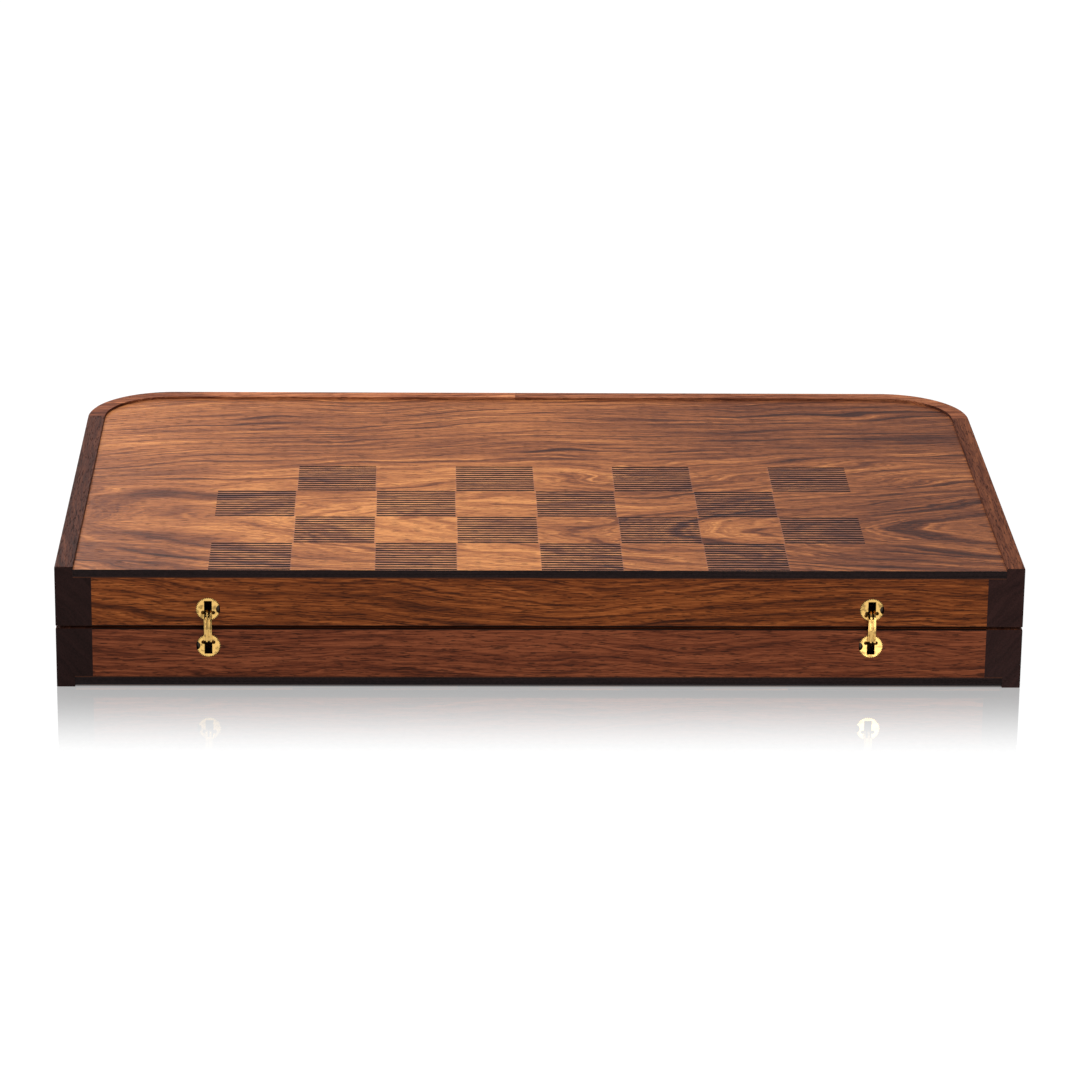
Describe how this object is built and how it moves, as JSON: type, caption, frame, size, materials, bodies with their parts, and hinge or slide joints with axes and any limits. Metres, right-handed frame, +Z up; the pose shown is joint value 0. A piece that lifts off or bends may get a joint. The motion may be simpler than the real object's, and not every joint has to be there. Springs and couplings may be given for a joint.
{
  "type": "backgammon set",
  "caption": "Folding walnut games case: engraved chequered board outside, inlaid backgammon trays inside, barrel hinges, checkers, dice and doubling cube.",
  "frame": {"origin": "middle of the closed set's bounding box in plan, at the underside of the lower rim", "axes": "+X to the right along the hinge side, +Y away from the hinge side towards the rounded back, +Z up; the set is closed"},
  "size_m": [0.48, 0.2964, 0.0632],
  "materials": {
    "walnut_frame": "oiled walnut",
    "walnut_front": "oiled walnut",
    "walnut_panel": "lacquered walnut veneer, engraved",
    "black_board": "black fibreboard",
    "field_veneer": "tan veneer",
    "light_point": "maple veneer",
    "dark_point": "dark walnut veneer",
    "magnet_steel": "nickel plated",
    "brass_barrel": "polished",
    "brass_links": "polished",
    "steel_pins": "plain",
    "steel_screw": "plain",
    "light_checker": "turned maple",
    "dark_checker": "turned walnut",
    "light_die": "polished",
    "dark_die": "polished",
    "cube": "polished"
  },
  "bodies": {
    "lower_half": {"lower_side_rail_left": "walnut_frame", "lower_side_rail_right": "walnut_frame", "lower_corner_left": "walnut_frame", "lower_corner_right": "walnut_frame", "lower_hinge_rail": "walnut_front", "lower_panel_core": "black_board", "lower_outer_veneer": "walnut_panel", "lower_field_veneer": "field_veneer", "lower_points_light": "light_point", "lower_points_dark": "dark_point", "lower_magnets": "magnet_steel", "left_lower_barrel": "brass_barrel", "left_lower_expansion_screw": "steel_screw", "left_lower_pivot_pin": "steel_pins", "right_lower_barrel": "brass_barrel", "right_lower_expansion_screw": "steel_screw", "right_lower_pivot_pin": "steel_pins"},
    "upper_half": {"upper_side_rail_left": "walnut_frame", "upper_side_rail_right": "walnut_frame", "upper_corner_left": "walnut_frame", "upper_corner_right": "walnut_frame", "upper_hinge_rail": "walnut_front", "upper_panel_core": "black_board", "upper_outer_veneer": "walnut_panel", "upper_field_veneer": "field_veneer", "upper_points_light": "light_point", "upper_points_dark": "dark_point", "upper_magnets": "magnet_steel", "left_upper_barrel": "brass_barrel", "left_upper_expansion_screw": "steel_screw", "left_upper_pivot_pin": "steel_pins", "right_upper_barrel": "brass_barrel", "right_upper_expansion_screw": "steel_screw", "right_upper_pivot_pin": "steel_pins"},
    "left_lower_linkage": {"left_lower_links": "brass_links", "left_centre_rivet": "steel_pins"},
    "left_upper_linkage": {"left_upper_links": "brass_links"},
    "right_lower_linkage": {"right_lower_links": "brass_links", "right_centre_rivet": "steel_pins"},
    "right_upper_linkage": {"right_upper_links": "brass_links"},
    "dark_checkers_1": {"dark_checkers_1": "dark_checker"},
    "dark_checkers_2": {"dark_checkers_2": "dark_checker"},
    "dark_checkers_3": {"dark_checkers_3": "dark_checker"},
    "dark_die_1": {"dark_die_1": "dark_die"},
    "dark_die_2": {"dark_die_2": "dark_die"},
    "doubling_cube": {"doubling_cube": "cube"},
    "light_checkers_1": {"light_checkers_1": "light_checker"},
    "light_checkers_2": {"light_checkers_2": "light_checker"},
    "light_checkers_3": {"light_checkers_3": "light_checker"},
    "light_die_1": {"light_die_1": "light_die"},
    "light_die_2": {"light_die_2": "light_die"}
  },
  "joints": [
    {"name": "fold", "type": "hinge", "parent": "lower_half", "child": "upper_half", "pos_m": [0, -0.14405, 0.0316], "axis": [1, 0, 0], "range_deg": [0, 180]},
    {"name": "left_lower_link_turn", "type": "hinge", "parent": "lower_half", "child": "left_lower_linkage", "pos_m": [-0.1646, -0.14285, 0.0269], "axis": [1, 0, 0], "range_deg": [0, 123]},
    {"name": "left_upper_link_turn", "type": "hinge", "parent": "upper_half", "child": "left_upper_linkage", "pos_m": [-0.1646, -0.14285, 0.0363], "axis": [1, 0, 0], "range_deg": [-123, 0]},
    {"name": "right_lower_link_turn", "type": "hinge", "parent": "lower_half", "child": "right_lower_linkage", "pos_m": [0.1646, -0.14285, 0.0269], "axis": [1, 0, 0], "range_deg": [0, 123]},
    {"name": "right_upper_link_turn", "type": "hinge", "parent": "upper_half", "child": "right_upper_linkage", "pos_m": [0.1646, -0.14285, 0.0363], "axis": [1, 0, 0], "range_deg": [-123, 0]},
    {"name": "dark_checkers_1_lift", "type": "slide", "parent": "lower_half", "child": "dark_checkers_1", "axis": [0, 0, 1], "range_m": [0, 0.026]},
    {"name": "dark_checkers_2_lift", "type": "slide", "parent": "lower_half", "child": "dark_checkers_2", "axis": [0, 0, 1], "range_m": [0, 0.026]},
    {"name": "dark_checkers_3_lift", "type": "slide", "parent": "lower_half", "child": "dark_checkers_3", "axis": [0, 0, 1], "range_m": [0, 0.026]},
    {"name": "dark_die_1_lift", "type": "slide", "parent": "lower_half", "child": "dark_die_1", "axis": [0, 0, 1], "range_m": [0, 0.026]},
    {"name": "dark_die_2_lift", "type": "slide", "parent": "lower_half", "child": "dark_die_2", "axis": [0, 0, 1], "range_m": [0, 0.026]},
    {"name": "doubling_cube_lift", "type": "slide", "parent": "lower_half", "child": "doubling_cube", "axis": [0, 0, 1], "range_m": [0, 0.026]},
    {"name": "light_checkers_1_lift", "type": "slide", "parent": "lower_half", "child": "light_checkers_1", "axis": [0, 0, 1], "range_m": [0, 0.026]},
    {"name": "light_checkers_2_lift", "type": "slide", "parent": "lower_half", "child": "light_checkers_2", "axis": [0, 0, 1], "range_m": [0, 0.026]},
    {"name": "light_checkers_3_lift", "type": "slide", "parent": "lower_half", "child": "light_checkers_3", "axis": [0, 0, 1], "range_m": [0, 0.026]},
    {"name": "light_die_1_lift", "type": "slide", "parent": "lower_half", "child": "light_die_1", "axis": [0, 0, 1], "range_m": [0, 0.026]},
    {"name": "light_die_2_lift", "type": "slide", "parent": "lower_half", "child": "light_die_2", "axis": [0, 0, 1], "range_m": [0, 0.026]}
  ],
  "couplings": [
    {"joint": "left_lower_link_turn", "follows": "fold", "ratio": 0.68194},
    {"joint": "left_upper_link_turn", "follows": "fold", "ratio": -0.68194},
    {"joint": "right_lower_link_turn", "follows": "fold", "ratio": 0.68194},
    {"joint": "right_upper_link_turn", "follows": "fold", "ratio": -0.68194}
  ]
}
